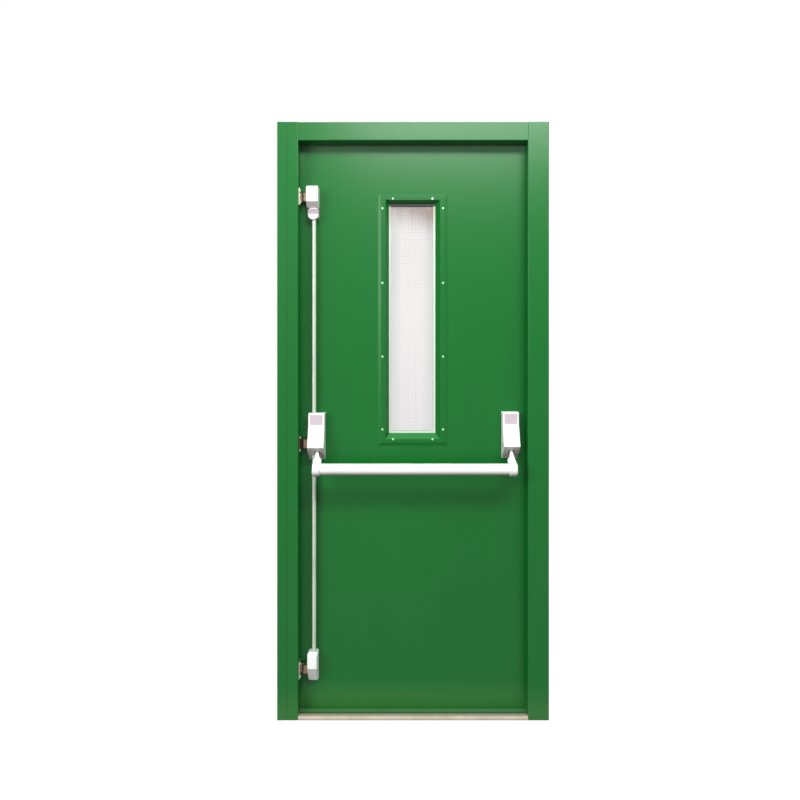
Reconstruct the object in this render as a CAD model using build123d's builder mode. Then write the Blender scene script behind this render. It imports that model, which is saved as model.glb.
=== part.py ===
from build123d import *
import os

os.makedirs("parts", exist_ok=True)

# All sizes in millimetres. X runs to the right seen from the room, Y runs outward,
# Z runs up from the floor. Y is zero at the middle of the frame's depth.

# Frame
frame_width = 955
frame_height = 2100
jamb_face = 74
head_face = 65
stop_depth = 52
rebate_step = 20
seal_gap = 6
leaf_thickness = 45
frame_sheet = 2
frame_bend = 3
wall_return = 15
groove_from_edge = 32
groove_width = 6
groove_depth = 1.2
fixing_hole = 10
fixing_end = 150
fixing_count = 4

frame_depth = stop_depth + seal_gap + leaf_thickness
room_y = -frame_depth / 2
stop_y = room_y + stop_depth
leaf_in_y = stop_y + seal_gap
leaf_out_y = leaf_in_y + leaf_thickness
edge_x = frame_width / 2
reveal_x = edge_x - jamb_face
rebate_x = reveal_x + rebate_step
reveal_z = frame_height - head_face
rebate_z = reveal_z + rebate_step
fixing_step = (frame_height - fixing_end * 2) / (fixing_count - 1)
fixing_heights = [fixing_end + fixing_step * i for i in range(fixing_count)]

# Threshold
sill_height = 14
sill_plate = 5
sill_wall = 3
sill_seal_from_front = 18
sill_seal_width = 12
sill_seal_depth = 3

# Seal on the stop
seal_width = 10
seal_thickness = 5.5

# Leaf
latch_gap = 7
hinge_gap = 5
top_gap = 5
bottom_gap = 7
skin_sheet = 1.5
skin_lip = 20
leaf_left = latch_gap - rebate_x
leaf_right = rebate_x - hinge_gap
leaf_bottom = sill_plate + bottom_gap
leaf_top = rebate_z - top_gap
leaf_mid_x = (leaf_left + leaf_right) / 2
leaf_mid_z = (leaf_bottom + leaf_top) / 2
leaf_width = leaf_right - leaf_left
leaf_height = leaf_top - leaf_bottom

# Vision panel
vision_drop = 639.5
vision_width = 196
vision_height = 859
flange_side = 27
flange_end = 23
flange_edge = 1
flange_rise = 3
flange_slope = 11
bead_sheet = 2
bead_left = 12
bead_right = 16
bead_top = 10
bead_bottom = 20
glass_thickness = 7
tape_thickness = 4
tape_shows = 8
tape_cover = 6
vision_z = leaf_top - vision_drop
sight_width = vision_width - bead_left - bead_right
sight_height = vision_height - bead_top - bead_bottom
sight_x = (bead_left - bead_right) / 2
sight_z = vision_z + (bead_bottom - bead_top) / 2
flange_thickness = flange_edge + flange_rise
cut_width = vision_width + bead_sheet * 2
cut_height = vision_height + bead_sheet * 2
glass_y = leaf_in_y + leaf_thickness / 2
glass_in_y = glass_y - glass_thickness / 2
glass_out_y = glass_y + glass_thickness / 2
bead_in_y = glass_in_y - tape_thickness
bead_out_y = glass_out_y + tape_thickness

# Push bar cases: heights are counted from the pivot, depths from the leaf
pivot_z = 965
case_width = 58
active_from_reveal = 60.5
passive_from_reveal = 55.5
active_x = active_from_reveal - reveal_x
passive_x = reveal_x - passive_from_reveal
active_drop = 4
case_base = 2
case_sheet = 2.5
case_top_above = 115
case_label_low_above = 69
case_front_below = 5
case_bottom_below = 53
case_top_depth = 33
case_front_depth = 62
case_round = 4
case_edge = 2
label_width = 50
label_height = 35
label_depth = 1
slot_side_gap = 5
slot_back = 17
slot_front = 47

# Push bar and lever arms
pivot_depth = 38
pivot_pin = 8
pivot_head = 13
pivot_head_thickness = 1.5
running_gap = 0.05
bar_depth = 98
bar_drop = 78
bar_z = pivot_z - bar_drop
bar_diameter = 40
bar_wall = 2.5
arm_off_middle = 5
arm_thickness = 10
arm_half_width = 6.5
hub_radius = 9.5
elbow_depth = 33
elbow_drop = 26
boss_out = 9.5
boss_in = 17.5
boss_radius = 24.5
boss_rounding = 6
spigot_length = 15
# the arm widens into the boss: height above the bar, share of the widening
shoulder_steps = [(50, 0), (43, 0.1), (36, 0.3), (32, 0.57), (28, 0.88), (24, 1)]
active_arm_x = active_x + arm_off_middle
passive_arm_x = passive_x

# Latch bolts and their cases
bolt_inner_depth = 15
bolt_outer_depth = 29
bolt_height = 29
bolt_reach = 5
bolt_length = 30.5
bolt_nose = 10
bolt_flat = 4
bolt_tail = 18
tail_thickness = 5
tail_height = 20
middle_bolt_above = 2
bolt_throw = 18
guide_gap = 0.5
pocket_behind = 6
top_bolt_drop = 206
bottom_bolt_rise = 153
top_bolt_z = leaf_top - top_bolt_drop
middle_bolt_z = pivot_z + middle_bolt_above
bottom_bolt_z = leaf_bottom + bottom_bolt_rise
block_depth = 46
top_block_from_reveal = 25.5
top_block_width = 42
top_block_edge = 2
top_block_above = 38
top_block_slope_high = 10
top_block_front_below = 19
top_block_below = 37
top_block_foot_depth = 26
lobe_width = 39
lobe_edge = 2
lobe_off_middle = 3
lobe_depth = 33
lobe_shoulder_depth = 25
lobe_high_below = 42
lobe_shoulder_below = 57
lobe_low_below = 81
neck_width = 30
neck_depth = 24
bottom_block_from_reveal = 29.5
bottom_block_width = 36
bottom_block_edge = 4
bottom_block_above = 61
bottom_block_shoulder_depth = 30
bottom_block_front_above = 53
bottom_block_front_below = 9
bottom_block_below = 45
bottom_block_foot_depth = 14

# Rods
rod_from_reveal = 51.5
rod_x = rod_from_reveal - reveal_x
rod_depth = 20
rod_diameter = 14
rod_hole_gap = 1
rod_end_gap = 6
rod_in_latch = 24
upper_rod_above = 40
lower_rod_below = 35

# Strikes
strike_sheet = 3
strike_height = 61
strike_room_edge = 10
keep_gap = 1
keep_reach = 16.5
keep_height = 30

# Hinges
hinge_names = ["top", "middle", "bottom"]
top_hinge_drop = 208
bottom_hinge_rise = 248
hinge_height = 100
hinge_plate = 2.2
hinge_plate_in = 7.5
hinge_axis_out = 9
knuckle_diameter = 14
knuckle_middle = 38
knuckle_gap = 1
hinge_pin_size = 8
hinge_pin_cap = 11
hinge_pin_cap_height = 2
hinge_y = leaf_out_y + hinge_axis_out
hinge_x = rebate_x - hinge_gap / 2
top_hinge_z = leaf_top - top_hinge_drop
bottom_hinge_z = leaf_bottom + bottom_hinge_rise
hinge_heights = [top_hinge_z, (top_hinge_z + bottom_hinge_z) / 2, bottom_hinge_z]

leaf_side_plane = Plane(origin=(0, 0, 0), x_dir=(0, 1, 0), z_dir=(1, 0, 0))

# How near an edge must lie to a place to be picked there, and how far off it counts as away.
# A cut right through a piece starts and ends this far outside it.
at_place = 0.01
away = 1
cut_past = 1


def off_leaf(depth):
    # how far a point stands off the leaf's room face, as a Y value
    return leaf_in_y - depth


def side_points(points):
    # points off the leaf and up, as points of a sketch that is seen from the side
    return [(off_leaf(depth), z) for depth, z in points]


def save(piece, label):
    piece.part.label = label
    export_step(piece.part, "parts/" + label + ".step")


def strip_rectangles(edge, reveal, rebate, grooved):
    # the folded sheet as walls: low corner and high corner of each
    walls = [
        (edge - frame_sheet, room_y, edge, room_y + wall_return),
        (reveal, room_y, reveal + frame_sheet, stop_y),
        (reveal, stop_y - frame_sheet, rebate + frame_sheet, stop_y),
        (rebate, stop_y - frame_sheet, rebate + frame_sheet, leaf_out_y),
        (rebate, leaf_out_y - frame_sheet, edge, leaf_out_y),
        (edge - frame_sheet, leaf_out_y - wall_return, edge, leaf_out_y),
    ]
    if grooved:
        near = edge - groove_from_edge
        far = near - groove_width
        walls += [
            (near, room_y, edge, room_y + frame_sheet),
            (reveal, room_y, far, room_y + frame_sheet),
            (near, room_y, near + frame_sheet, room_y + groove_depth + frame_sheet),
            (far - frame_sheet, room_y, far, room_y + groove_depth + frame_sheet),
            (far, room_y + groove_depth, near, room_y + groove_depth + frame_sheet),
        ]
    else:
        walls += [(reveal, room_y, edge, room_y + frame_sheet)]
    return walls


def round_bends(sketch, edge, reveal, rebate):
    # the outer side of every bend is rounded
    bends = [
        (edge, room_y),
        (reveal, room_y),
        (reveal, stop_y),
        (rebate, leaf_out_y),
        (edge, leaf_out_y),
    ]
    chosen = [
        v for v in sketch.vertices()
        if any(abs(abs(v.X) - x) < at_place and abs(v.Y - y) < at_place for x, y in bends)
    ]
    return chosen


# Jambs: the profile is drawn on the floor and raised to the full height
with BuildPart() as latch_jamb:
    with BuildSketch(Plane.XY) as latch_profile:
        for x0, y0, x1, y1 in strip_rectangles(edge_x, reveal_x, rebate_x, True):
            with Locations((-(x0 + x1) / 2, (y0 + y1) / 2)):
                Rectangle(x1 - x0, y1 - y0)
        fillet(round_bends(latch_profile, edge_x, reveal_x, rebate_x), frame_bend)
    extrude(amount=frame_height)
    for z in fixing_heights:
        hole_plane = Plane(
            origin=(-rebate_x, (leaf_in_y + leaf_out_y) / 2, z), x_dir=(0, 1, 0), z_dir=(-1, 0, 0)
        )
        with BuildSketch(hole_plane):
            Circle(fixing_hole / 2)
        extrude(amount=frame_sheet * 2, both=True, mode=Mode.SUBTRACT)
save(latch_jamb, "latch_jamb")

with BuildPart() as hinge_jamb:
    with BuildSketch(Plane.XY) as hinge_profile:
        for x0, y0, x1, y1 in strip_rectangles(edge_x, reveal_x, rebate_x, False):
            with Locations(((x0 + x1) / 2, (y0 + y1) / 2)):
                Rectangle(x1 - x0, y1 - y0)
        fillet(round_bends(hinge_profile, edge_x, reveal_x, rebate_x), frame_bend)
    extrude(amount=frame_height)
    for z in fixing_heights:
        hole_plane = Plane(
            origin=(rebate_x, (leaf_in_y + leaf_out_y) / 2, z), x_dir=(0, 1, 0), z_dir=(1, 0, 0)
        )
        with BuildSketch(hole_plane):
            Circle(fixing_hole / 2)
        extrude(amount=frame_sheet * 2, both=True, mode=Mode.SUBTRACT)
save(hinge_jamb, "hinge_jamb")

# Head: the same folded profile, butted between the jambs
head_plane = Plane(origin=(0, 0, 0), x_dir=(0, 0, 1), z_dir=(-1, 0, 0))
with BuildPart() as frame_head:
    with BuildSketch(head_plane) as head_profile:
        for z0, y0, z1, y1 in strip_rectangles(frame_height, reveal_z, rebate_z, False):
            with Locations(((z0 + z1) / 2, (y0 + y1) / 2)):
                Rectangle(z1 - z0, y1 - y0)
        fillet(round_bends(head_profile, frame_height, reveal_z, rebate_z), frame_bend)
    extrude(amount=rebate_x, both=True)
    for side in (-1, 1):
        with BuildSketch(Plane.XY.offset(reveal_z - cut_past)):
            with Locations((side * (reveal_x + rebate_step / 2), (room_y + stop_y) / 2)):
                Rectangle(rebate_step, stop_depth)
        extrude(amount=head_face + cut_past * 2, mode=Mode.SUBTRACT)
save(frame_head, "frame_head")

# Threshold: hollow upstand under the stop, low plate under the leaf
with BuildPart() as threshold:
    with BuildSketch(leaf_side_plane):
        with Locations(((room_y + stop_y) / 2, sill_height / 2)):
            Rectangle(stop_depth, sill_height)
        groove_mid = room_y + sill_seal_from_front + sill_seal_width / 2
        with Locations((groove_mid, sill_height - sill_seal_depth / 2)):
            Rectangle(sill_seal_width, sill_seal_depth, mode=Mode.SUBTRACT)
        hollow_high = sill_height - sill_wall * 2
        hollow_width = stop_depth - sill_wall * 2
        with Locations(((room_y + stop_y) / 2, hollow_high / 2)):
            Rectangle(hollow_width, hollow_high, mode=Mode.SUBTRACT)
    extrude(amount=reveal_x, both=True)
    with BuildSketch(leaf_side_plane):
        with Locations(((stop_y + leaf_out_y) / 2, sill_plate / 2)):
            Rectangle(leaf_out_y - stop_y, sill_plate)
    extrude(amount=rebate_x, both=True)
save(threshold, "threshold")

with BuildPart() as threshold_seal:
    with BuildSketch(leaf_side_plane):
        with Locations((groove_mid, sill_height - sill_seal_depth / 2)):
            Rectangle(sill_seal_width, sill_seal_depth)
    extrude(amount=reveal_x, both=True)
save(threshold_seal, "threshold_seal")

# Seal round the stop: two uprights and a crosspiece
seal_inner_x = reveal_x + (rebate_step - seal_width) / 2
seal_outer_x = seal_inner_x + seal_width
seal_inner_z = reveal_z + (rebate_step - seal_width) / 2
seal_outer_z = seal_inner_z + seal_width
with BuildPart() as frame_seal:
    with BuildSketch(Plane.XZ.offset(-stop_y)):
        with Locations((0, (seal_outer_z + sill_plate) / 2)):
            Rectangle(seal_outer_x * 2, seal_outer_z - sill_plate)
        with Locations((0, (seal_inner_z + sill_plate) / 2)):
            Rectangle(seal_inner_x * 2, seal_inner_z - sill_plate, mode=Mode.SUBTRACT)
    extrude(amount=-seal_thickness)
save(frame_seal, "frame_seal")

# Strikes: a folded plate on the reveal whose lip stands behind the bolt
bolt_tip_x = bolt_reach - reveal_x
keep_in_y = off_leaf(bolt_inner_depth) + keep_gap
strike_heights = {"top": top_bolt_z, "middle": middle_bolt_z, "bottom": bottom_bolt_z}
for name, height in strike_heights.items():
    with BuildPart() as strike:
        with BuildSketch(Plane.XY.offset(height - strike_height / 2)):
            plate_room_y = off_leaf(bolt_outer_depth) - strike_room_edge
            plate_out_y = keep_in_y + strike_sheet
            with Locations((-reveal_x + strike_sheet / 2, (plate_room_y + plate_out_y) / 2)):
                Rectangle(strike_sheet, plate_out_y - plate_room_y)
        extrude(amount=strike_height)
        with BuildSketch(Plane.XY.offset(height - keep_height / 2)):
            with Locations((-reveal_x + keep_reach / 2, keep_in_y + strike_sheet / 2)):
                Rectangle(keep_reach, strike_sheet)
        extrude(amount=keep_height)
    save(strike, name + "_strike")


# Hinges: plates in the gap, knuckles outside, pin held by the frame's knuckles
def hinge_half(plate_x, knuckle_spans, bore, height):
    low = height - hinge_height / 2
    plate_from = leaf_in_y + hinge_plate_in
    plate_to = hinge_y - knuckle_diameter / 2 - knuckle_gap
    with BuildPart() as half:
        with BuildSketch(Plane.XY.offset(low)):
            with Locations((plate_x, (plate_from + plate_to) / 2)):
                Rectangle(hinge_plate, plate_to - plate_from)
        extrude(amount=hinge_height)
        for start, length in knuckle_spans:
            with BuildSketch(Plane.XY.offset(low + start)):
                with Locations((hinge_x, hinge_y)):
                    Circle(knuckle_diameter / 2)
                with Locations((plate_x, (plate_to + hinge_y) / 2)):
                    Rectangle(hinge_plate, hinge_y - plate_to)
            extrude(amount=length)
        with BuildSketch(Plane.XY.offset(low)):
            with Locations((hinge_x, hinge_y)):
                Circle(bore)
        extrude(amount=hinge_height, mode=Mode.SUBTRACT)
    return half


outer_knuckle = (hinge_height - knuckle_middle) / 2 - knuckle_gap
middle_start = outer_knuckle + knuckle_gap
for name, height in zip(hinge_names, hinge_heights):
    frame_spans = [(0, outer_knuckle), (hinge_height - outer_knuckle, outer_knuckle)]
    frame_half = hinge_half(
        rebate_x - hinge_plate / 2, frame_spans, hinge_pin_size / 2, height
    )
    save(frame_half, name + "_hinge_frame_leaf")
    door_half = hinge_half(
        leaf_right + hinge_plate / 2,
        [(middle_start, knuckle_middle)],
        hinge_pin_size / 2 + running_gap,
        height,
    )
    save(door_half, name + "_hinge_door_leaf")
    with BuildPart() as pin:
        with BuildSketch(Plane.XY.offset(height - hinge_height / 2)):
            with Locations((hinge_x, hinge_y)):
                Circle(hinge_pin_size / 2)
        extrude(amount=hinge_height)
        for end in (height - hinge_height / 2 - hinge_pin_cap_height, height + hinge_height / 2):
            with BuildSketch(Plane.XY.offset(end)):
                with Locations((hinge_x, hinge_y)):
                    Circle(hinge_pin_cap / 2)
            extrude(amount=hinge_pin_cap_height)
    save(pin, name + "_hinge_pin")

# Leaf: an inner tray whose edges reach the outer sheet, and a lipped outer sheet
with BuildPart() as leaf_inner_skin:
    with BuildSketch(Plane.XZ.offset(-leaf_in_y)):
        with Locations((leaf_mid_x, leaf_mid_z)):
            Rectangle(leaf_width, leaf_height)
    extrude(amount=-(leaf_thickness - skin_sheet))
    with BuildSketch(Plane.XZ.offset(-(leaf_in_y + skin_sheet))):
        with Locations((leaf_mid_x, leaf_mid_z)):
            Rectangle(leaf_width - skin_sheet * 2, leaf_height - skin_sheet * 2)
    extrude(amount=-leaf_thickness, mode=Mode.SUBTRACT)
    with BuildSketch(Plane.XZ.offset(-leaf_in_y)):
        with Locations((0, vision_z)):
            Rectangle(cut_width, cut_height)
    extrude(amount=-skin_sheet * 2, mode=Mode.SUBTRACT)
save(leaf_inner_skin, "leaf_inner_skin")

with BuildPart() as leaf_outer_skin:
    with BuildSketch(Plane.XZ.offset(-(leaf_out_y - skin_sheet))):
        with Locations((leaf_mid_x, leaf_mid_z)):
            Rectangle(leaf_width, leaf_height)
        with Locations((0, vision_z)):
            Rectangle(cut_width, cut_height, mode=Mode.SUBTRACT)
    extrude(amount=-skin_sheet)
    with BuildSketch(Plane.XZ.offset(-(leaf_out_y - skin_lip))):
        with Locations((leaf_mid_x, leaf_mid_z)):
            Rectangle(leaf_width - skin_sheet * 2, leaf_height - skin_sheet * 2)
            Rectangle(
                leaf_width - skin_sheet * 4, leaf_height - skin_sheet * 4, mode=Mode.SUBTRACT
            )
    extrude(amount=-(skin_lip - skin_sheet))
save(leaf_outer_skin, "leaf_outer_skin")


# Vision frames: a flange on the leaf, sloped outside, and a wall that runs in to the glass
def vision_frame(face_y, bead_y, outward):
    edge_y = face_y - outward * flange_edge
    flange_y = face_y - outward * flange_thickness
    outer_width = vision_width + flange_side * 2
    outer_height = vision_height + flange_end * 2
    with BuildPart() as bead:
        with BuildSketch(Plane.XZ.offset(-edge_y)):
            with Locations((0, vision_z)):
                Rectangle(outer_width, outer_height)
        extrude(amount=-outward * flange_edge)
        with BuildSketch(Plane.XZ.offset(-edge_y)):
            with Locations((0, vision_z)):
                Rectangle(outer_width, outer_height)
        with BuildSketch(Plane.XZ.offset(-flange_y)):
            with Locations((0, vision_z)):
                Rectangle(outer_width - flange_slope * 2, outer_height - flange_slope * 2)
        loft()
        with BuildSketch(Plane.XZ.offset(-face_y)):
            with Locations((0, vision_z)):
                Rectangle(cut_width, cut_height)
        with BuildSketch(Plane.XZ.offset(-bead_y)):
            with Locations((sight_x, sight_z)):
                Rectangle(sight_width + bead_sheet * 2, sight_height + bead_sheet * 2)
        loft()
        with BuildSketch(Plane.XZ.offset(-flange_y)):
            with Locations((0, vision_z)):
                Rectangle(vision_width, vision_height)
        with BuildSketch(Plane.XZ.offset(-bead_y)):
            with Locations((sight_x, sight_z)):
                Rectangle(sight_width, sight_height)
        loft(mode=Mode.SUBTRACT)
    return bead


save(vision_frame(leaf_in_y, bead_in_y, 1), "inner_vision_frame")
save(vision_frame(leaf_out_y, bead_out_y, -1), "outer_vision_frame")


def glazing_tape(start_y):
    with BuildPart() as tape:
        with BuildSketch(Plane.XZ.offset(-start_y)):
            with Locations((sight_x, sight_z)):
                Rectangle(sight_width + tape_cover * 2, sight_height + tape_cover * 2)
                Rectangle(
                    sight_width - tape_shows * 2, sight_height - tape_shows * 2, mode=Mode.SUBTRACT
                )
        extrude(amount=-tape_thickness)
    return tape


save(glazing_tape(bead_in_y), "inner_glazing_tape")
save(glazing_tape(glass_out_y), "outer_glazing_tape")

with BuildPart() as wired_glass:
    with BuildSketch(Plane.XZ.offset(-glass_in_y)):
        with Locations((sight_x, sight_z)):
            Rectangle(sight_width + tape_cover * 2, sight_height + tape_cover * 2)
    extrude(amount=-glass_thickness)
save(wired_glass, "wired_glass")


# Cases of the push bar: folded covers over a base plate, open towards the leaf
def case_levels(drop):
    # underside's back edge, front edge, foot of the label face, top, middle of the label
    middle = pivot_z - drop
    label_face_low = middle + case_label_low_above
    top = middle + case_top_above
    return (
        middle - case_bottom_below,
        middle - case_front_below,
        label_face_low,
        top,
        (label_face_low + top - case_round) / 2,
    )


def case_face(back, drop):
    # side contour of a case from its back edge, as points off the leaf and up
    bottom_z, front_z, label_low_z, top_z, _ = case_levels(drop)
    under_slope = (front_z - bottom_z) / (case_front_depth - case_base)
    return side_points([
        (back, bottom_z + under_slope * (back - case_base)),
        (case_front_depth, front_z),
        (case_top_depth, label_low_z),
        (case_top_depth, top_z),
        (back, top_z),
    ])


def push_case(centre_x, arm_x, drop, holds_latch):
    half = case_width / 2
    bottom_z, front_z, label_low_z, top_z, label_z = case_levels(drop)
    outer_start = leaf_side_plane.offset(centre_x - half)
    with BuildPart() as case:
        with BuildSketch(outer_start):
            with BuildLine():
                Polyline(*case_face(case_base, drop), close=True)
            make_face()
        extrude(amount=case_width)
        long_edges = [
            e for e in case.edges()
            if abs(e.length - case_width) < at_place
            and e.center().Y < off_leaf(case_top_depth) + at_place
            and abs(e.center().Z - label_low_z) > away
        ]
        fillet(long_edges, case_round)
        side_edges = [
            e for e in case.edges()
            if abs(e.center().X - centre_x) > half - at_place
            and e.center().Y < off_leaf(case_base) - away
        ]
        chamfer(side_edges, case_edge)
        with BuildSketch(leaf_side_plane.offset(centre_x - half + case_sheet)):
            with BuildLine():
                Polyline(*case_face(case_base - case_sheet, drop), close=True)
            make_face()
            offset(amount=-case_sheet, kind=Kind.INTERSECTION)
        extrude(amount=case_width - case_sheet * 2, mode=Mode.SUBTRACT)
        with BuildSketch(Plane.XZ.offset(-off_leaf(case_top_depth))):
            with Locations((centre_x, label_z)):
                Rectangle(label_width, label_height)
        extrude(amount=-label_depth, mode=Mode.SUBTRACT)
        # slot for the lever arm in the underside
        with BuildSketch(Plane.XY.offset(bottom_z)):
            with Locations((arm_x, off_leaf((slot_back + slot_front) / 2))):
                Rectangle(arm_thickness + slot_side_gap * 2, slot_front - slot_back)
        extrude(amount=front_z - bottom_z, mode=Mode.SUBTRACT)
        with BuildSketch(outer_start):
            with Locations((off_leaf(pivot_depth), pivot_z)):
                Circle(pivot_pin / 2)
        extrude(amount=case_width, mode=Mode.SUBTRACT)
        if holds_latch:
            with BuildSketch(outer_start):
                with Locations((off_leaf((bolt_inner_depth + bolt_outer_depth) / 2), middle_bolt_z)):
                    Rectangle(
                        bolt_outer_depth - bolt_inner_depth + guide_gap * 2,
                        bolt_height + guide_gap * 2,
                    )
            extrude(amount=half, mode=Mode.SUBTRACT)
            with BuildSketch(Plane.XY.offset(bottom_z)):
                with Locations((rod_x, off_leaf(rod_depth))):
                    Circle(rod_diameter / 2 + rod_hole_gap)
            extrude(amount=top_z - bottom_z, mode=Mode.SUBTRACT)
    return case


case_places = {
    "active": (active_x, active_arm_x, active_drop, True),
    "passive": (passive_x, passive_arm_x, 0, False),
}
for name, (centre_x, arm_x, drop, holds_latch) in case_places.items():
    save(push_case(centre_x, arm_x, drop, holds_latch), name + "_case")
    bottom_z, _, _, top_z, label_z = case_levels(drop)
    with BuildPart() as base:
        with BuildSketch(Plane.XZ.offset(-leaf_in_y)):
            with Locations((centre_x, (bottom_z + top_z) / 2)):
                Rectangle(case_width, top_z - bottom_z)
        extrude(amount=case_base)
    save(base, name + "_base")
    with BuildPart() as label:
        with BuildSketch(Plane.XZ.offset(-off_leaf(case_top_depth - label_depth))):
            with Locations((centre_x, label_z)):
                Rectangle(label_width, label_height)
        extrude(amount=label_depth / 2)
    save(label, name + "_label")
    with BuildPart() as pivot:
        pivot_half = case_width / 2
        with BuildSketch(leaf_side_plane.offset(centre_x - pivot_half)):
            with Locations((off_leaf(pivot_depth), pivot_z)):
                Circle(pivot_pin / 2)
        extrude(amount=case_width)
        for start in (centre_x - pivot_half - pivot_head_thickness, centre_x + pivot_half):
            with BuildSketch(leaf_side_plane.offset(start)):
                with Locations((off_leaf(pivot_depth), pivot_z)):
                    Circle(pivot_head / 2)
            extrude(amount=pivot_head_thickness)
    save(pivot, name + "_pivot")


# Lever arms: hub on the pivot, cranked arm, bottle-shaped end that holds the bar
def arm_strip(start, end, half_width):
    # four corners of a straight strip between two points
    run = end[0] - start[0]
    rise = end[1] - start[1]
    length = (run ** 2 + rise ** 2) ** 0.5
    across = (-rise / length * half_width, run / length * half_width)
    return [
        (start[0] + across[0], start[1] + across[1]),
        (end[0] + across[0], end[1] + across[1]),
        (end[0] - across[0], end[1] - across[1]),
        (start[0] - across[0], start[1] - across[1]),
    ]


def lever(arm_x, towards_bar):
    hub = (off_leaf(pivot_depth), pivot_z)
    elbow = (off_leaf(elbow_depth), pivot_z - elbow_drop)
    grip = (off_leaf(bar_depth), bar_z)
    half_arm = arm_thickness / 2
    boss_start = min(arm_x - towards_bar * boss_out, arm_x + towards_bar * boss_in)
    with BuildPart() as boss:
        with BuildSketch(leaf_side_plane.offset(boss_start)):
            with Locations(grip):
                Circle(boss_radius)
        extrude(amount=boss_out + boss_in)
        fillet(boss.edges().filter_by(GeomType.CIRCLE), boss_rounding)
    with BuildPart() as arm:
        with BuildSketch(leaf_side_plane.offset(boss_start)):
            for start, end in ((hub, elbow), (elbow, grip)):
                with BuildLine():
                    Polyline(*arm_strip(start, end, arm_half_width), close=True)
                make_face()
            with Locations(hub):
                Circle(hub_radius)
            with Locations(elbow):
                Circle(arm_half_width)
        extrude(amount=boss_out + boss_in)
        # seen from the front the arm has shoulders like a bottle
        ends = []
        with BuildSketch(Plane.XZ.offset(-off_leaf(0))):
            with BuildLine():
                for way, reach in ((-towards_bar, boss_out), (towards_bar, boss_in)):
                    shoulder = [
                        (arm_x + way * (half_arm + (reach - half_arm) * share), bar_z + above)
                        for above, share in shoulder_steps
                    ]
                    top = (arm_x + way * half_arm, pivot_z + hub_radius)
                    foot = (arm_x + way * reach, bar_z)
                    Line(top, shoulder[0])
                    Spline(*shoulder)
                    Line(shoulder[-1], foot)
                    ends.append((top, foot))
                Line(ends[0][0], ends[1][0])
                Line(ends[0][1], ends[1][1])
            make_face()
        extrude(amount=bar_depth, mode=Mode.INTERSECT)
        add(boss.part)
        with BuildSketch(leaf_side_plane.offset(arm_x + towards_bar * half_arm)):
            with Locations(grip):
                Circle(bar_diameter / 2 - bar_wall)
        extrude(amount=towards_bar * (boss_in - half_arm + spigot_length))
        with BuildSketch(leaf_side_plane.offset(arm_x - arm_thickness)):
            with Locations(hub):
                Circle(pivot_pin / 2 + running_gap)
        extrude(amount=arm_thickness * 2, mode=Mode.SUBTRACT)
    return arm


save(lever(active_arm_x, 1), "active_lever")
save(lever(passive_arm_x, -1), "passive_lever")

bar_start = active_arm_x + boss_in
bar_end = passive_arm_x - boss_in
with BuildPart() as push_bar_tube:
    with BuildSketch(leaf_side_plane.offset(bar_start)):
        with Locations((off_leaf(bar_depth), bar_z)):
            Circle(bar_diameter / 2)
            Circle(bar_diameter / 2 - bar_wall, mode=Mode.SUBTRACT)
    extrude(amount=bar_end - bar_start)
save(push_bar_tube, "push_bar_tube")


# Bolts: a block with a sloped nose, blunt against the keep
def latch_bolt(height, with_tail):
    inner_y = off_leaf(bolt_inner_depth)
    outer_y = off_leaf(bolt_outer_depth)
    nose_points = [
        (bolt_tip_x, inner_y),
        (bolt_tip_x + bolt_length, inner_y),
        (bolt_tip_x + bolt_length, outer_y),
        (bolt_tip_x + bolt_nose, outer_y),
        (bolt_tip_x, inner_y - bolt_flat),
    ]
    with BuildPart() as bolt:
        with BuildSketch(Plane.XY.offset(height - bolt_height / 2)):
            with BuildLine():
                Polyline(*nose_points, close=True)
            make_face()
        extrude(amount=bolt_height)
        if with_tail:
            with BuildSketch(Plane.XY.offset(height - tail_height / 2)):
                with Locations((bolt_tip_x + bolt_length + bolt_tail / 2, inner_y - tail_thickness / 2)):
                    Rectangle(bolt_tail, tail_thickness)
            extrude(amount=tail_height)
    return bolt


save(latch_bolt(top_bolt_z, False), "top_bolt")
save(latch_bolt(middle_bolt_z, True), "middle_bolt")
save(latch_bolt(bottom_bolt_z, False), "bottom_bolt")

# Latch cases at the ends of the rods: a block on the leaf with a pocket for the bolt
def latch_block(left, width, contour, edge):
    with BuildPart() as block:
        with BuildSketch(leaf_side_plane.offset(left)):
            with BuildLine():
                Polyline(*side_points(contour), close=True)
            make_face()
        extrude(amount=width)
        side_edges = [
            e for e in block.edges()
            if abs(abs(e.center().X - left - width / 2) - width / 2) < at_place
            and e.center().Y < leaf_in_y - away
        ]
        chamfer(side_edges, edge)
    return block


def bolt_pocket(left, height):
    pocket_end_x = bolt_tip_x + bolt_throw + bolt_length + pocket_behind
    with BuildPart() as pocket:
        with BuildSketch(leaf_side_plane.offset(left)):
            with Locations((off_leaf((bolt_inner_depth + bolt_outer_depth) / 2), height)):
                Rectangle(
                    bolt_outer_depth - bolt_inner_depth + guide_gap * 2,
                    bolt_height + guide_gap * 2,
                )
        extrude(amount=pocket_end_x - left)
    return pocket.part


def rod_hole(low, high):
    with BuildPart() as hole:
        with BuildSketch(Plane.XY.offset(low)):
            with Locations((rod_x, off_leaf(rod_depth))):
                Circle(rod_diameter / 2 + rod_hole_gap)
        extrude(amount=high - low)
    return hole.part


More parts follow.
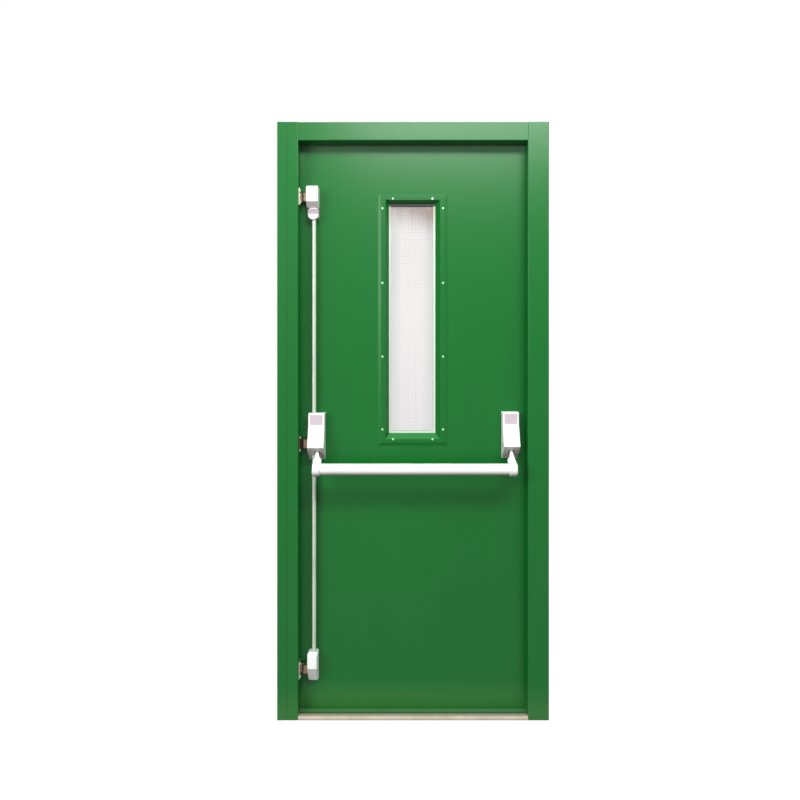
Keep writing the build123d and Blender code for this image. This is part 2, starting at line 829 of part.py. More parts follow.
top_block_left = top_block_from_reveal - reveal_x
top_block_low = top_bolt_z - top_block_below
top_block_high = top_bolt_z + top_block_above
lobe_high = top_bolt_z - lobe_high_below
lobe_low = top_bolt_z - lobe_low_below
lobe_mid_x = top_block_left + top_block_width / 2 + lobe_off_middle
top_block_side = [
    (0, top_block_low),
    (top_block_foot_depth, top_block_low),
    (block_depth, top_bolt_z - top_block_front_below),
    (block_depth, top_block_high - top_block_slope_high),
    (block_depth - top_block_slope_high, top_block_high),
    (0, top_block_high),
]
lobe_shoulder = [
    (lobe_shoulder_depth, lobe_high),
    (lobe_depth, lobe_high),
    (lobe_depth, top_bolt_z - lobe_shoulder_below),
]
lobe_round_z = lobe_low + lobe_width / 2
with BuildPart() as lobe:
    with BuildSketch(Plane.XZ.offset(-leaf_in_y)):
        with Locations((lobe_mid_x, (lobe_high + lobe_round_z) / 2)):
            Rectangle(lobe_width, lobe_high - lobe_round_z)
        with Locations((lobe_mid_x, lobe_round_z)):
            Circle(lobe_width / 2)
    extrude(amount=lobe_depth)
    chamfer(lobe.faces().sort_by(Axis.Y)[0].edges(), lobe_edge)
    with BuildSketch(leaf_side_plane.offset(lobe_mid_x - lobe_width / 2)):
        with BuildLine():
            Polyline(*side_points(lobe_shoulder), close=True)
        make_face()
    extrude(amount=lobe_width, mode=Mode.SUBTRACT)
with BuildPart() as top_latch_case:
    add(latch_block(top_block_left, top_block_width, top_block_side, top_block_edge).part)
    with BuildSketch(Plane.XY.offset(lobe_high)):
        with Locations((lobe_mid_x, leaf_in_y - neck_depth / 2)):
            Rectangle(neck_width, neck_depth)
    extrude(amount=top_block_low - lobe_high)
    add(lobe.part)
    add(bolt_pocket(top_block_left, top_bolt_z), mode=Mode.SUBTRACT)
    add(rod_hole(lobe_low, lobe_low + rod_in_latch + rod_end_gap), mode=Mode.SUBTRACT)
save(top_latch_case, "top_latch_case")

bottom_block_left = bottom_block_from_reveal - reveal_x
bottom_block_high = bottom_bolt_z + bottom_block_above
bottom_block_side = [
    (0, bottom_bolt_z - bottom_block_below),
    (bottom_block_foot_depth, bottom_bolt_z - bottom_block_below),
    (block_depth, bottom_bolt_z + bottom_block_front_below),
    (block_depth, bottom_bolt_z + bottom_block_front_above),
    (bottom_block_shoulder_depth, bottom_block_high),
    (0, bottom_block_high),
]
with BuildPart() as bottom_latch_case:
    bottom_block = latch_block(
        bottom_block_left, bottom_block_width, bottom_block_side, bottom_block_edge
    )
    add(bottom_block.part)
    add(bolt_pocket(bottom_block_left, bottom_bolt_z), mode=Mode.SUBTRACT)
    rod_hole_foot = bottom_block_high - rod_in_latch - rod_end_gap
    add(rod_hole(rod_hole_foot, bottom_block_high), mode=Mode.SUBTRACT)
save(bottom_latch_case, "bottom_latch_case")

# Rods between the cases and the latches
rod_spans = {
    "upper_rod": (pivot_z + upper_rod_above, lobe_low + rod_in_latch),
    "lower_rod": (bottom_block_high - rod_in_latch, pivot_z - lower_rod_below),
}
for name, (low, high) in rod_spans.items():
    with BuildPart() as rod:
        with BuildSketch(Plane.XY.offset(low)):
            with Locations((rod_x, off_leaf(rod_depth))):
                Circle(rod_diameter / 2)
        extrude(amount=high - low)
    save(rod, name)
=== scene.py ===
import math

import bmesh
import bpy
from mathutils import Matrix, Vector


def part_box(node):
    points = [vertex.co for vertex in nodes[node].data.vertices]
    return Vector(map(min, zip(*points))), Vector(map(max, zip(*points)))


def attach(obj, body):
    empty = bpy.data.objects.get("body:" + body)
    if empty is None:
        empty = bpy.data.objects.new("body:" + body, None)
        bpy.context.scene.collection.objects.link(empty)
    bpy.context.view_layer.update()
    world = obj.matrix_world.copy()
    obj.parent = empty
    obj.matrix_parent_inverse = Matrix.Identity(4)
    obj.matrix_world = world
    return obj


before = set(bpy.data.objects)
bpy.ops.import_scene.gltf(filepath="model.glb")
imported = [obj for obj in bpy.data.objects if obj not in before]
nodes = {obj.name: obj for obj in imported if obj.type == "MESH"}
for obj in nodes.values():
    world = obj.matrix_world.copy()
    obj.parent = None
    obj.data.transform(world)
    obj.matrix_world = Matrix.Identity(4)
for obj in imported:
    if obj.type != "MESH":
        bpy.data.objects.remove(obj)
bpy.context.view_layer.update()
mm = 0.001


# Shader helpers

class Signal:  # one value in a material, with the arithmetic written as operators
    def __init__(self, finish, socket):
        self.finish = finish
        self.socket = socket

    def combine(self, operation, first, second):
        return self.finish.add("ShaderNodeMath", {"operation": operation}, {0: first, 1: second})

    def __add__(self, other):
        return self.combine("ADD", self, other)

    def __radd__(self, other):
        return self.combine("ADD", other, self)

    def __sub__(self, other):
        return self.combine("SUBTRACT", self, other)

    def __rsub__(self, other):
        return self.combine("SUBTRACT", other, self)

    def __mul__(self, other):
        return self.combine("MULTIPLY", self, other)

    def __rmul__(self, other):
        return self.combine("MULTIPLY", other, self)


class Finish:  # one material and its nodes
    def __init__(self, name):
        self.material = bpy.data.materials.new(name)
        self.material.use_nodes = True
        self.tree = self.material.node_tree
        self.tree.nodes.clear()
        self.output = self.tree.nodes.new("ShaderNodeOutputMaterial")
        self.place = self.add("ShaderNodeTexCoord", output="Object")

    def add(self, kind, settings=None, inputs=None, output=0):
        node = self.tree.nodes.new(kind)
        for key, value in (settings or {}).items():
            if key == "stops":
                ramp = node.color_ramp
                while len(ramp.elements) < len(value):
                    ramp.elements.new(0.5)
                for stop, (position, level) in zip(ramp.elements, value):
                    stop.position = position
                    stop.color = (level, level, level, 1)
            else:
                setattr(node, key, value)
        for key, value in (inputs or {}).items():
            self.feed(node.inputs[key], value)
        return Signal(self, node.outputs[output])

    def feed(self, socket, value):
        if isinstance(value, Signal):
            self.tree.links.new(value.socket, socket)
        else:
            socket.default_value = value

    def stretch(self, scale):
        return self.add("ShaderNodeMapping", None, {"Vector": self.place, "Scale": scale})

    def part(self, vector, name):
        return self.add("ShaderNodeSeparateXYZ", None, {"Vector": vector}, output=name)

    def axis(self, name):
        return self.part(self.place, name)

    def facing(self, name):
        return self.part(self.add("ShaderNodeNewGeometry", output="Normal"), name)

    def beyond(self, value, edge):
        return self.add("ShaderNodeMath", {"operation": "GREATER_THAN"}, {0: value, 1: edge})

    def between(self, value, low, high):
        return self.add(
            "ShaderNodeMapRange", None, {"Value": value, "From Min": low, "From Max": high}
        )

    def noise(self, scale, detail=3.0, rough=0.5, place=None):
        return self.add(
            "ShaderNodeTexNoise", None,
            {"Vector": place or self.place, "Scale": scale, "Detail": detail, "Roughness": rough},
        )

    def steps(self, value, stops):
        return self.add("ShaderNodeValToRGB", {"stops": stops}, {"Fac": value})

    def blendColours(self, factor, first, second):
        colours = {"Factor": factor, 6: first, 7: second}
        return self.add("ShaderNodeMix", {"data_type": "RGBA"}, colours, output=2)

    def bump(self, height, strength, distance, over=None):
        inputs = {"Height": height, "Strength": strength, "Distance": distance}
        if over:
            inputs["Normal"] = over
        return self.add("ShaderNodeBump", None, inputs)

    def surface(self, **inputs):
        words = {key.replace("_", " "): value for key, value in inputs.items()}
        shader = self.add("ShaderNodeBsdfPrincipled", None, words)
        self.tree.links.new(shader.socket, self.output.inputs["Surface"])
        return self.material


def colour(red, green, blue):  # a colour as it shows, 0 to 255, turned to scene light
    def linear(level):
        level = level / 255
        return level / 12.92 if level <= 0.04045 else ((level + 0.055) / 1.055) ** 2.4
    return (linear(red), linear(green), linear(blue), 1)


# Materials

greenPaint = {
    "gloss": 0.30,
    "specular": 0.27,
    "patchScale": 1.4,
    "streakScale": 9,
    "streakStretch": (1, 1, 0.06),
    "patchShare": 0.6,
    "contrast": [(0.32, 0), (0.7, 1)],
    "patchDulling": 0.10,
    "peelDulling": 0.05,
    "peelScale": 520,
    "peelBump": (0.10, 0.0004),
    "waveScale": 5.5,
    "waveBump": (0.06, 0.01),
}
# painted light: a lighter olive towards the foot of leaf and frame, for light bounced up from the
# floor
footBounceLight = {"top": 120, "full": 30, "share": 0.55, "tint": (62, 118, 56)}
# painted light: faces turned upwards get a lighter green, for light falling on them from above
ledgeLight = {"slope": 0.3, "share": 0.26, "tint": (70, 158, 88)}
# painted glare: a pale grey-green band along the top of the inner skin, just under the head, for a
# reflected light
topGlare = {"low": 44, "full": 14, "share": 0.6, "tint": (160, 190, 164)}


def paintGreen(name, main, deep, glareTop=None):
    finish = Finish(name)
    patches = finish.noise(greenPaint["patchScale"], 4)
    streaks = finish.noise(
        greenPaint["streakScale"], 4, 0.6, finish.stretch(greenPaint["streakStretch"])
    )
    patchShare = greenPaint["patchShare"]
    shade = finish.steps(
        patches * patchShare + streaks * (1 - patchShare), greenPaint["contrast"]
    )
    tint = finish.blendColours(shade, colour(*main), colour(*deep))
    height = finish.axis("Z")
    # painted bounce light from the floor, fading out upwards from the foot
    bounceReach = finish.between(height, footBounceLight["top"] * mm, footBounceLight["full"] * mm)
    bounceLit = finish.blendColours(
        bounceReach * (patches + 0.5) * footBounceLight["share"], tint, colour(*footBounceLight["tint"])
    )
    # painted light on faces turned upwards
    upwardFaces = finish.beyond(finish.facing("Z"), ledgeLight["slope"])
    lightened = finish.blendColours(upwardFaces * ledgeLight["share"], bounceLit, colour(*ledgeLight["tint"]))
    # painted glare along the top edge of the skin
    if glareTop:
        glare = finish.between(
            height, glareTop - topGlare["low"] * mm, glareTop - topGlare["full"] * mm
        )
        lightened = finish.blendColours(
            glare * (patches + 0.5) * topGlare["share"], lightened, colour(*topGlare["tint"])
        )
    peel = finish.noise(greenPaint["peelScale"], 2)
    patchDulling = (patches - 0.5) * greenPaint["patchDulling"]
    peelDulling = (peel - 0.5) * greenPaint["peelDulling"]
    waves = finish.noise(greenPaint["waveScale"], 2)
    fine = finish.bump(peel, *greenPaint["peelBump"])
    relief = finish.bump(waves, *greenPaint["waveBump"], over=fine)
    return finish.surface(
        Base_Color=lightened, Roughness=greenPaint["gloss"] + patchDulling + peelDulling,
        Normal=relief, Specular_IOR_Level=greenPaint["specular"],
    )


silverPaint = {
    "gloss": 0.36,
    "metal": 0.04,
    "specular": 0.3,
    "flakeScale": 1800,
    "flakeDulling": 0.12,
    "patchScale": 14,
    "patchShare": 0.7,
    "contrast": [(0.35, 0), (0.7, 1)],
    "grainScale": 900,
    "grainBump": (0.12, 0.0002),
    # painted shade: faces turned downwards are blended towards a darker mauve
    "underneath": (-0.25, -0.9),
    "grimeAndShade": (140, 98, 100),
    "underShadeShare": 0.56,
    # colour and share of a painted shadow cast onto a part
    "castShadow": (140, 122, 130),
    "castShadowShare": 0.85,
}


def paintSilver(name, main, deep, underShadeShare=silverPaint["underShadeShare"], shadowHeights=None):
    # the last argument gives the heights at which a painted shadow starts, is full and ends
    finish = Finish(name)
    flakes = finish.noise(silverPaint["flakeScale"], 1)
    patches = finish.noise(silverPaint["patchScale"], 3)
    patchShare = silverPaint["patchShare"]
    shade = finish.steps(
        patches * patchShare + flakes * (1 - patchShare), silverPaint["contrast"]
    )
    tint = finish.blendColours(shade, colour(*main), colour(*deep))
    height = finish.axis("Z")
    # painted shade on faces turned downwards
    underneath = finish.between(finish.facing("Z"), *silverPaint["underneath"])
    shaded = finish.blendColours(underneath * underShadeShare, tint, colour(*silverPaint["grimeAndShade"]))
    # painted shadow, cast by the block above onto the part below it
    if shadowHeights:
        start, full, end = shadowHeights
        castShadow = finish.between(height, start, full) * (1 - finish.beyond(height, end))
        shaded = finish.blendColours(
            castShadow * silverPaint["castShadowShare"], shaded, colour(*silverPaint["castShadow"])
        )
    grain = finish.bump(finish.noise(silverPaint["grainScale"], 2), *silverPaint["grainBump"])
    dulling = (flakes - 0.5) * silverPaint["flakeDulling"]
    return finish.surface(
        Base_Color=shaded, Roughness=silverPaint["gloss"] + dulling,
        Metallic=silverPaint["metal"], Normal=grain, Specular_IOR_Level=silverPaint["specular"],
    )


# painted shadow of the top latch's block
latchShadow = (10, 24, 41)  # above the foot of the top latch, over its rounded end

labelPlate = {
    "field": (208, 194, 201),
    "specks": (188, 175, 181),
    "rim": (240, 240, 238),
    "rimWidth": 2.5,
}


def barePlate(node):
    # a bare tinted field with a pale rim at both sides
    finish = Finish("labelPlate" + node)
    specks = finish.noise(700, 3)
    tint = finish.blendColours(
        specks, colour(*labelPlate["field"]), colour(*labelPlate["specks"])
    )
    low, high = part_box(node)
    across = finish.axis("X")
    rimWidth = labelPlate["rimWidth"] * mm
    rim = finish.beyond(low.x + rimWidth, across) + finish.beyond(across, high.x - rimWidth)
    rimmed = finish.blendColours(rim, tint, colour(*labelPlate["rim"]))
    return finish.surface(Base_Color=rimmed, Roughness=0.55 + (specks - 0.5) * 0.2)


sillPaint = {
    "startsAt": -21.5,
    "green": (62, 124, 66),
    "metal": (228, 218, 198),
    "metalGrain": (214, 202, 180),
    "dirt": (176, 160, 134),
    "dirtShare": 0.5,
    # the next four entries paint a reflection of the green leaf on the top face, just behind the
    # front edge
    "leafSheen": (150, 152, 124),
    "leafSheenShare": 0.7,
    "topFaceDepth": 0.5,
    "sheenBand": (2, 8),
    "towardsFoot": (8, 1),
    "footTint": (150, 132, 118),
    "footShare": 0.7,
}


def sillMetal():
    # bare metal along the room edge, darker at its foot, green paint behind the dark strip, and a
    # painted reflection of the green leaf on its top face
    finish = Finish("sillMetal")
    grain = finish.noise(60, 4, 0.6, finish.stretch((0.5, 30, 30)))
    grimeAndShade = finish.noise(11, 5, 0.65)
    dirt = finish.steps(grimeAndShade, [(0.42, 0), (0.75, 1)])
    clean = finish.blendColours(
        grain, colour(*sillPaint["metal"]), colour(*sillPaint["metalGrain"])
    )
    dirty = finish.blendColours(dirt * sillPaint["dirtShare"], clean, colour(*sillPaint["dirt"]))
    # darker towards the foot of the front face
    towardsFoot = finish.between(finish.axis("Z"), *[level * mm for level in sillPaint["towardsFoot"]])
    footDarkened = finish.blendColours(
        towardsFoot * sillPaint["footShare"], dirty, colour(*sillPaint["footTint"])
    )
    # painted reflection of the green leaf: a grey-green band on the top face behind the front edge
    low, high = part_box("threshold")
    topFace = finish.beyond(finish.axis("Z"), high.z - sillPaint["topFaceDepth"] * mm)
    behindEdge = finish.between(
        finish.axis("Y"), *[low.y + level * mm for level in sillPaint["sheenBand"]]
    )
    sheened = finish.blendColours(
        topFace * behindEdge * sillPaint["leafSheenShare"], footDarkened, colour(*sillPaint["leafSheen"])
    )
    painted = finish.beyond(finish.axis("Y"), sillPaint["startsAt"] * mm)
    bare = 1 - painted
    tint = finish.blendColours(painted, sheened, colour(*sillPaint["green"]))
    return finish.surface(
        Base_Color=tint, Metallic=bare * 0.3, Roughness=0.42 + dirt * 0.2 + (grain - 0.5) * 0.15,
        Normal=finish.bump(grain, 0.15, 0.0002),
    )


def rubberStrip(name, dark, light):
    finish = Finish(name)
    specks = finish.noise(420, 3)
    tint = finish.blendColours(specks, colour(*dark), colour(*light))
    return finish.surface(
        Base_Color=tint, Roughness=0.65 + (specks - 0.5) * 0.2,
        Normal=finish.bump(specks, 0.2, 0.0002),
    )


tapeLook = {
    "pale": (206, 218, 204),
    "specks": (188, 202, 188),
    "topTan": (168, 160, 140),
    "topTanShare": 0.9,
    "towardsTop": (110, 15),
    # painted shadow colour and height for the tape's top strip
    "grimeAndShade": (22, 34, 22),
    "shadowHeight": 15,
}


def glazingTape():
    # pale tape, a darker tan towards the top of the pane, with painted shadow of the top bead along
    # its top strip
    finish = Finish("glazingTape")
    specks = finish.noise(300, 3)
    tint = finish.blendColours(specks, colour(*tapeLook["pale"]), colour(*tapeLook["specks"]))
    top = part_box("wired_glass")[1].z
    towardsTop = finish.between(finish.axis("Z"), *[top - depth * mm for depth in tapeLook["towardsTop"]])
    tanned = finish.blendColours(towardsTop * tapeLook["topTanShare"], tint, colour(*tapeLook["topTan"]))
    # painted shadow of the top bead along the tape's top strip
    shaded = finish.beyond(finish.axis("Z"), top - tapeLook["shadowHeight"] * mm)
    darker = finish.blendColours(shaded, tanned, colour(*tapeLook["grimeAndShade"]))
    return finish.surface(Base_Color=darker, Roughness=0.6 + (specks - 0.5) * 0.15)


def steel(name, light, dark, gloss, direction):
    finish = Finish(name)
    grain = finish.noise(70, 4, 0.6, finish.stretch(direction))
    stains = finish.noise(60, 4, 0.6)
    tint = finish.blendColours(grain * 0.6 + stains * 0.4, colour(*light), colour(*dark))
    return finish.surface(
        Base_Color=tint, Metallic=0.85, Roughness=gloss + (grain - 0.5) * 0.2,
        Normal=finish.bump(grain, 0.15, 0.0002),
    )


glassTints = {
    "below": 320,
    "above": 30,
    "slant": 0.35,
    "stops": [
        (0, 0), (0.58, 0.02), (0.66, 0.12), (0.74, 0.36), (0.83, 0.68), (0.91, 0.78), (1, 0.35),
    ],
    "tint": (0.31, 0.215, 0.165, 1),
    "clear": (0.908, 0.892, 0.884, 1),
    "haze": (0.80, 0.785, 0.80, 1),
    "hazeShare": 0.9,
    "sides": (36, 78),
    "sideTint": (0.70, 0.69, 0.68, 1),
    "sideShare": 0.8,
}


def clearGlass():
    # a brown tint hangs from the top of the pane, lower to the right, in faint streaks;
    # a grey haze rises from its foot and lies along its sides
    finish = Finish("wiredGlass")
    ripple = finish.noise(18, 2)
    low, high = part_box("wired_glass")
    sideways = finish.axis("X") - (low.x + high.x) / 2
    streaks = finish.noise(60, 3, 0.6, finish.stretch((1, 1, 0.03)))
    height = finish.axis("Z") + (streaks - 0.5) * 0.06
    fade = finish.between(
        height + sideways * glassTints["slant"],
        high.z - glassTints["below"] * mm, high.z + glassTints["above"] * mm,
    )
    topBrown = finish.steps(fade, glassTints["stops"])
    rising = finish.between(height, (low.z + high.z) / 2, low.z)
    haze = rising * (streaks + 0.5) * glassTints["hazeShare"]
    hazy = finish.blendColours(haze, glassTints["clear"], glassTints["haze"])
    offMiddle = finish.add("ShaderNodeMath", {"operation": "ABSOLUTE"}, {0: sideways})
    sides = finish.between(offMiddle, *[reach * mm for reach in glassTints["sides"]])
    greyed = finish.blendColours(sides * glassTints["sideShare"], hazy, glassTints["sideTint"])
    tint = finish.blendColours(topBrown, greyed, glassTints["tint"])
    return finish.surface(
        Base_Color=tint, Roughness=0.03 + (ripple - 0.5) * 0.02,
        Transmission_Weight=1.0, IOR=1.45, Normal=finish.bump(ripple, 0.04, 0.002),
    )


leafColours = (11, 102, 36), (9, 96, 33)
frameColours = (12, 103, 37), (10, 97, 34)
silverColours = (243, 243, 240), (232, 233, 230)
leafGreen = paintGreen("leafGreen", *leafColours)
# the inner skin carries the painted glare along its top
innerGreen = paintGreen("innerGreen", *leafColours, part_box("leaf_inner_skin")[1].z)
frameGreen = paintGreen("frameGreen", *frameColours)
silver = paintSilver("silverPaint", *silverColours)
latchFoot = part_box("top_latch_case")[0].z
latchSilver = paintSilver(
    "latchSilver", *silverColours,
    shadowHeights=[latchFoot + level * mm for level in latchShadow],
)
# painted light: a brighter copy of the silver paint, with less painted shade underneath, for the
# bottom latch
litFootLatchSilver = paintSilver("litFootLatchSilver", (253, 253, 250), (246, 247, 244), 0.2)
rodSilver = paintSilver("rodSilver", (198, 208, 190), (180, 192, 174))
activePlate = barePlate("active_label")
passivePlate = barePlate("passive_label")
sill = sillMetal()
rubber = rubberStrip("blackRubber", (22, 26, 23), (38, 42, 38))
dustyRubber = rubberStrip("dustyRubber", (52, 68, 48), (74, 92, 66))
tape = glazingTape()
glass = clearGlass()
boltSteel = steel("boltSteel", (150, 126, 104), (112, 92, 76), 0.42, (1, 20, 20))
keepSteel = steel("keepSteel", (224, 222, 208), (196, 194, 180), 0.35, (20, 20, 1))
# painted shade: a darker brown copy of the strike steel for the middle strike
shadedStrikeSteel = steel("shadedStrikeSteel", (124, 108, 90), (84, 72, 60), 0.5, (20, 20, 1))
# painted reflection: the mint tint on the screw heads stands in for the green paint reflected in
# bare steel
screwSteelGreenReflection = steel("screwSteelGreenReflection", (206, 250, 216), (188, 238, 200), 0.45, (20, 20, 1))
wireSteel = steel("wireSteel", (206, 208, 210), (188, 190, 194), 0.35, (20, 20, 1))
zincSteel = steel("zincSteel", (186, 188, 186), (160, 162, 160), 0.38, (20, 20, 1))
print("materials made")

finishes = {
    "jamb": frameGreen, "frame_head": frameGreen, "inner_skin": innerGreen, "skin": leafGreen,
    "vision_frame": leafGreen, "threshold_seal": dustyRubber, "frame_seal": rubber,
    "threshold": sill, "tape": tape, "wired_glass": glass, "active_label": activePlate,
    "passive_label": passivePlate, "hinge": zincSteel, "pivot": zincSteel,
    "middle_strike": shadedStrikeSteel, "strike": keepSteel, "bolt": boltSteel,
    "top_latch_case": latchSilver, "bottom_latch_case": litFootLatchSilver, "case": silver,
    "base": silver, "lever": silver, "push_bar": silver, "rod": rodSilver,
}
for name, piece in nodes.items():
    chosen = next(finishes[word] for word in finishes if word in name)
    piece.data.materials.clear()
    piece.data.materials.append(chosen)
print("frame pieces finished:", len(nodes))


# Screws

screwSizes = {
    "facets": 20,
    "crownShare": 0.62,
    "turnStep": 37,
    "slotShare": 0.30,
    "slotReach": 0.78,
    "slotDepth": 0.45,
}


def screwHead(radius, height):  # a raised head with a cross recess, standing on z = 0
    crown = radius * screwSizes["crownShare"]
    mesh = bmesh.new()
    bmesh.ops.create_cone(
        mesh, cap_ends=True, segments=screwSizes["facets"],
        radius1=radius, radius2=crown, depth=height,
        matrix=Matrix.Translation((0, 0, height / 2)),
    )
    half = crown * screwSizes["slotShare"]
    reach = crown * screwSizes["slotReach"]
    for normal in ((1, 0, 0), (0, 1, 0)):
        for offset in (-reach, -half, half, reach):
            flat = [face for face in mesh.faces if face.normal.z > 0.9]
            edges = list({edge for face in flat for edge in face.edges})
            corners = list({corner for face in flat for corner in face.verts})
            bmesh.ops.bisect_plane(
                mesh, geom=corners + edges + flat,
                plane_co=Vector(normal) * offset, plane_no=normal,
            )
    cross = []
    for face in mesh.faces:
        middle = face.calc_center_median()
        across = abs(middle.x) < reach and abs(middle.y) < half
        along = abs(middle.y) < reach and abs(middle.x) < half
        if face.normal.z > 0.9 and (across or along):
            cross.append(face)
    sunk = bmesh.ops.extrude_face_region(mesh, geom=cross)
    bmesh.ops.delete(mesh, geom=cross, context="FACES_KEEP_BOUNDARY")
    lowered = [part for part in sunk["geom"] if isinstance(part, bmesh.types.BMVert)]
    bmesh.ops.translate(mesh, verts=lowered, vec=(0, 0, -height * screwSizes["slotDepth"]))
    return mesh


def screwSet(name, body, places, direction, radius, height, material):
    joined = bmesh.new()
    turn = Vector((0, 0, 1)).rotation_difference(Vector(direction)).to_matrix().to_4x4()
    for number, place in enumerate(places):
        head = screwHead(radius, height)
        spin = Matrix.Rotation(math.radians(screwSizes["turnStep"] * number % 90), 4, "Z")
        bmesh.ops.transform(head, matrix=Matrix.Translation(place) @ turn @ spin, verts=head.verts)
        part = bpy.data.meshes.new("screw")
        head.to_mesh(part)
        joined.from_mesh(part)
        bpy.data.meshes.remove(part)
        head.free()
    bmesh.ops.recalc_face_normals(joined, faces=joined.faces)
    mesh = bpy.data.meshes.new(name)
    joined.to_mesh(mesh)
    joined.free()
    piece = bpy.data.objects.new(name, mesh)
    bpy.context.scene.collection.objects.link(piece)
    piece.data.materials.append(material)
    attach(piece, body)
    return piece


beadScrews = {
    "sideHeights": (1810, 1542, 1277, 1015),
    "sideX": 109,
    "endX": 71,
    "topZ": 1845,
    "bottomZ": 980,
    "radius": 4.2,
    "height": 1.8,
}
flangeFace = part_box("inner_vision_frame")[0].y
beadPlaces = [
    Vector((side * beadScrews["sideX"] * mm, flangeFace, z * mm))
    for side in (-1, 1) for z in beadScrews["sideHeights"]
]
beadPlaces += [
    Vector((side * beadScrews["endX"] * mm, flangeFace, z * mm))
    for side in (-1, 1) for z in (beadScrews["topZ"], beadScrews["bottomZ"])
]
screwSet(
    "beadScrews", "leaf", beadPlaces, (0, -1, 0),
    beadScrews["radius"] * mm, beadScrews["height"] * mm, screwSteelGreenReflection,
)

strikeScrews = {"apart": 45, "radius": 4.2, "height": 2.4, "fromRoomEdge": 5, "plate": 3}
strikePlaces = []
for name in ("top", "middle", "bottom"):
    low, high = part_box(name + "_strike")
    middle = (low.z + high.z) / 2
    for side in (-1, 1):
        strikePlaces.append(Vector((
            low.x + strikeScrews["plate"] * mm, low.y + strikeScrews["fromRoomEdge"] * mm,
            middle + side * strikeScrews["apart"] / 2 * mm,
        )))
screwSet(
    "strikeScrews", "frame", strikePlaces, (1, 0, 0),
    strikeScrews["radius"] * mm, strikeScrews["height"] * mm, screwSteelGreenReflection,
)

hingeScrews = {
    "heights": (-36, -13, 13, 36),
    "fromEdge": (12, 25),
    "edgeBand": 5,
    "radius": 4.2,
    "height": 0.18,
}


def plateFace(name, pick):  # where the flat of a hinge plate lies, clear of its knuckles
    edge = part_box(name)[0].y + hingeScrews["edgeBand"] * mm
    piece = nodes[name]
    corners = [piece.matrix_world @ corner.co for corner in piece.data.vertices]
    return pick(corner.x for corner in corners if corner.y < edge)


def hingePlaces(kind, pick):
    places = []
    for name in ("top", "middle", "bottom"):
        low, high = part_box(name + kind)
        face = plateFace(name + kind, pick)
        for number, offset in enumerate(hingeScrews["heights"]):
            inward = hingeScrews["fromEdge"][number % 2]
            places.append(Vector((
                face, low.y + inward * mm, (low.z + high.z) / 2 + offset * mm,
            )))
    return places


for screws, kind, body, pick, outward in (
    ("doorHingeScrews", "_hinge_door_leaf", "leaf", max, 1),
    ("frameHingeScrews", "_hinge_frame_leaf", "frame", min, -1),
):
    screwSet(
        screws, body, hingePlaces(kind, pick), (outward, 0, 0),
        hingeScrews["radius"] * mm, hingeScrews["height"] * mm, boltSteel,
    )
print("screws made")


# The wire in the glass

wireMesh = {"pitch": 12.5, "thickness": 0.35}


def wireInGlass():
    low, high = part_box("wired_glass")
    middle = (low + high) / 2
    pitch = wireMesh["pitch"] * mm
    half = wireMesh["thickness"] / 2 * mm
    mesh = bmesh.new()

    def wire(centre, size):
        bmesh.ops.create_cube(
            mesh, size=1,
            matrix=Matrix.Translation(centre) @ Matrix.Diagonal((*size, 1)),
        )

    across = int((high.x - low.x) / 2 / pitch)
    for step in range(-across, across + 1):
        wire(Vector((middle.x + step * pitch, middle.y - half, middle.z)),
             (half * 2, half * 2, high.z - low.z - pitch))
    upward = int((high.z - low.z) / 2 / pitch)
    for step in range(-upward, upward + 1):
        wire(Vector((middle.x, middle.y + half, middle.z + step * pitch)),
             (high.x - low.x - pitch, half * 2, half * 2))
    data = bpy.data.meshes.new("glassWire")
    mesh.to_mesh(data)
    mesh.free()
    piece = bpy.data.objects.new("glassWire", data)
    bpy.context.scene.collection.objects.link(piece)
    piece.data.materials.append(wireSteel)
    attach(piece, "leaf")
    return piece


wireInGlass()
print("glass wire made")


# Floor, light and camera

studio = {
    "skyAbove": 0.65,
    "skyBelow": 0.05,
    "floorHalf": 6.0,
    "floorGrey": 0.1,
    "floorShine": 0.91,
}


def worldLight(tree, tint):
    # white to the camera, in reflections and through glass; a plain light for the rest,
    # weaker from below
    def add(kind, operation=None):
        node = tree.nodes.new(kind)
        if operation:
            node.operation = operation
        return node

    def background(colour, strength):
        node = add("ShaderNodeBackground")
        node.inputs["Color"].default_value = colour
        node.inputs["Strength"].default_value = strength
        return node

    def blend(factor, first, second):
        node = add("ShaderNodeMixShader")
        tree.links.new(factor, node.inputs[0])
        tree.links.new(first.outputs[0], node.inputs[1])
        tree.links.new(second.outputs[0], node.inputs[2])
        return node

    rays = add("ShaderNodeLightPath")
    seen = add("ShaderNodeMath", "MAXIMUM")
    tree.links.new(rays.outputs["Is Camera Ray"], seen.inputs[0])
    tree.links.new(rays.outputs["Is Transmission Ray"], seen.inputs[1])
    shown = add("ShaderNodeMath", "MAXIMUM")
    tree.links.new(seen.outputs[0], shown.inputs[0])
    tree.links.new(rays.outputs["Is Glossy Ray"], shown.inputs[1])
    towards = add("ShaderNodeNewGeometry")
    parts = add("ShaderNodeSeparateXYZ")
    tree.links.new(towards.outputs["Incoming"], parts.inputs[0])
    below = add("ShaderNodeMath", "GREATER_THAN")
    tree.links.new(parts.outputs["Z"], below.inputs[0])
    below.inputs[1].default_value = 0
    plain = blend(
        below.outputs[0],
        background(tint, studio["skyAbove"]), background(tint, studio["skyBelow"]),
    )
    both = blend(shown.outputs[0], plain, background((1, 1, 1, 1), 1))
    tree.links.new(both.outputs[0], add("ShaderNodeOutputWorld").inputs["Surface"])


world = bpy.data.worlds.new("studioWorld")
bpy.context.scene.world = world
world.use_nodes = True
world.node_tree.nodes.clear()
worldLight(world.node_tree, (0.92, 0.95, 1.0, 1))

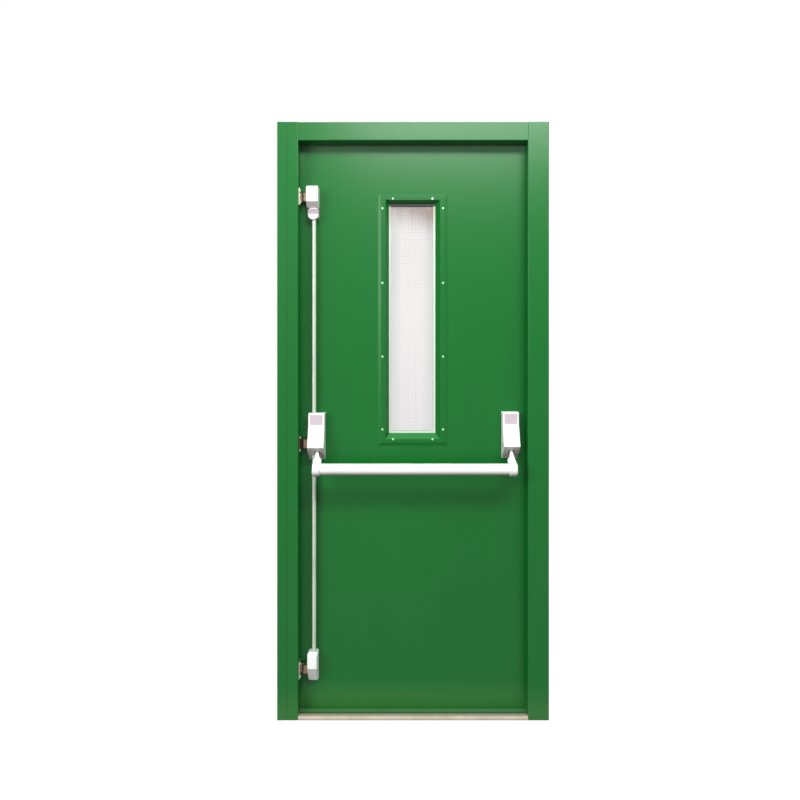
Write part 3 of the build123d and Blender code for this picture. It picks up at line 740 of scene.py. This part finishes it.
floorMesh = bmesh.new()
bmesh.ops.create_grid(floorMesh, x_segments=1, y_segments=1, size=studio["floorHalf"])
floorData = bpy.data.meshes.new("floor")
floorMesh.to_mesh(floorData)
floorMesh.free()
floor = bpy.data.objects.new("floor", floorData)
bpy.context.scene.collection.objects.link(floor)
floorFinish = Finish("paleFloor")
rays = [
    floorFinish.add("ShaderNodeLightPath", output=name)
    for name in ("Is Camera Ray", "Is Glossy Ray", "Is Transmission Ray")
]
shows = rays[0].combine("MAXIMUM", rays[0].combine("MAXIMUM", rays[0], rays[1]), rays[2])
matt = floorFinish.add("ShaderNodeBsdfPrincipled", None, {
    "Base Color": (*[studio["floorGrey"]] * 3, 1), "Roughness": 0.8,
})
shine = floorFinish.add("ShaderNodeEmission", None, {
    "Color": (1, 1, 1, 1), "Strength": studio["floorShine"],
})
lit = floorFinish.add("ShaderNodeAddShader", None, {0: matt, 1: shine})
ground = floorFinish.add("ShaderNodeMixShader", None, {0: shows, 1: matt, 2: lit})
floorFinish.tree.links.new(ground.socket, floorFinish.output.inputs["Surface"])
floor.data.materials.append(floorFinish.material)


def softLamp(name, place, aim, size, watts):
    lamp = bpy.data.lights.new(name, "AREA")
    lamp.shape = "RECTANGLE"
    lamp.size = size[0]
    lamp.size_y = size[1]
    lamp.energy = watts
    holder = bpy.data.objects.new(name, lamp)
    bpy.context.scene.collection.objects.link(holder)
    holder.location = place
    holder.rotation_euler = (Vector(aim) - Vector(place)).to_track_quat("-Z", "Y").to_euler()
    holder.visible_camera = False
    holder.visible_transmission = False
    return holder


lamps = {
    "frontLamp": {"place": (-3.2, -3.4, 2.5), "aim": (0, 0, 0.1), "size": (2.2, 2.2), "watts": 136},
    "ceilingLamp": {
        "place": (0.42, -1.7, 2.88), "aim": (0.15, 0, 1.3), "size": (1.7, 0.45), "watts": 53,
    },
    "backLamp": {"place": (2.4, 3.6, 2.6), "aim": (0, 0, 1.0), "size": (2.2, 2.2), "watts": 90},
}
for name, settings in lamps.items():
    softLamp(name, **settings)

view = {
    "imagePixels": 800,
    "doorPixels": 598.5,
    "doorHeight": 2.1,
    "distance": 2.24,
    "doorMiddlePixel": 413.07,
    "eyePixel": 365,
    "doorFootPixel": 720.35,
    "sensorWidth": 36,
}
metresPerPixel = view["doorHeight"] / view["doorPixels"]
camera = bpy.data.cameras.new("camera")
camera.sensor_width = view["sensorWidth"]
camera.sensor_fit = "HORIZONTAL"
camera.lens = view["sensorWidth"] * view["distance"] / metresPerPixel / view["imagePixels"]
camera.shift_y = (view["eyePixel"] - view["imagePixels"] / 2) / view["imagePixels"]
cameraHolder = bpy.data.objects.new("camera", camera)
bpy.context.scene.collection.objects.link(cameraHolder)
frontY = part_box("latch_jamb")[0].y
cameraHolder.location = (
    (view["imagePixels"] / 2 - view["doorMiddlePixel"]) * metresPerPixel,
    frontY - view["distance"],
    (view["doorFootPixel"] - view["eyePixel"]) * metresPerPixel,
)
cameraHolder.rotation_euler = (math.radians(90), 0, 0)
bpy.context.scene.camera = cameraHolder
bpy.context.scene.view_settings.view_transform = "Standard"
print("studio set")
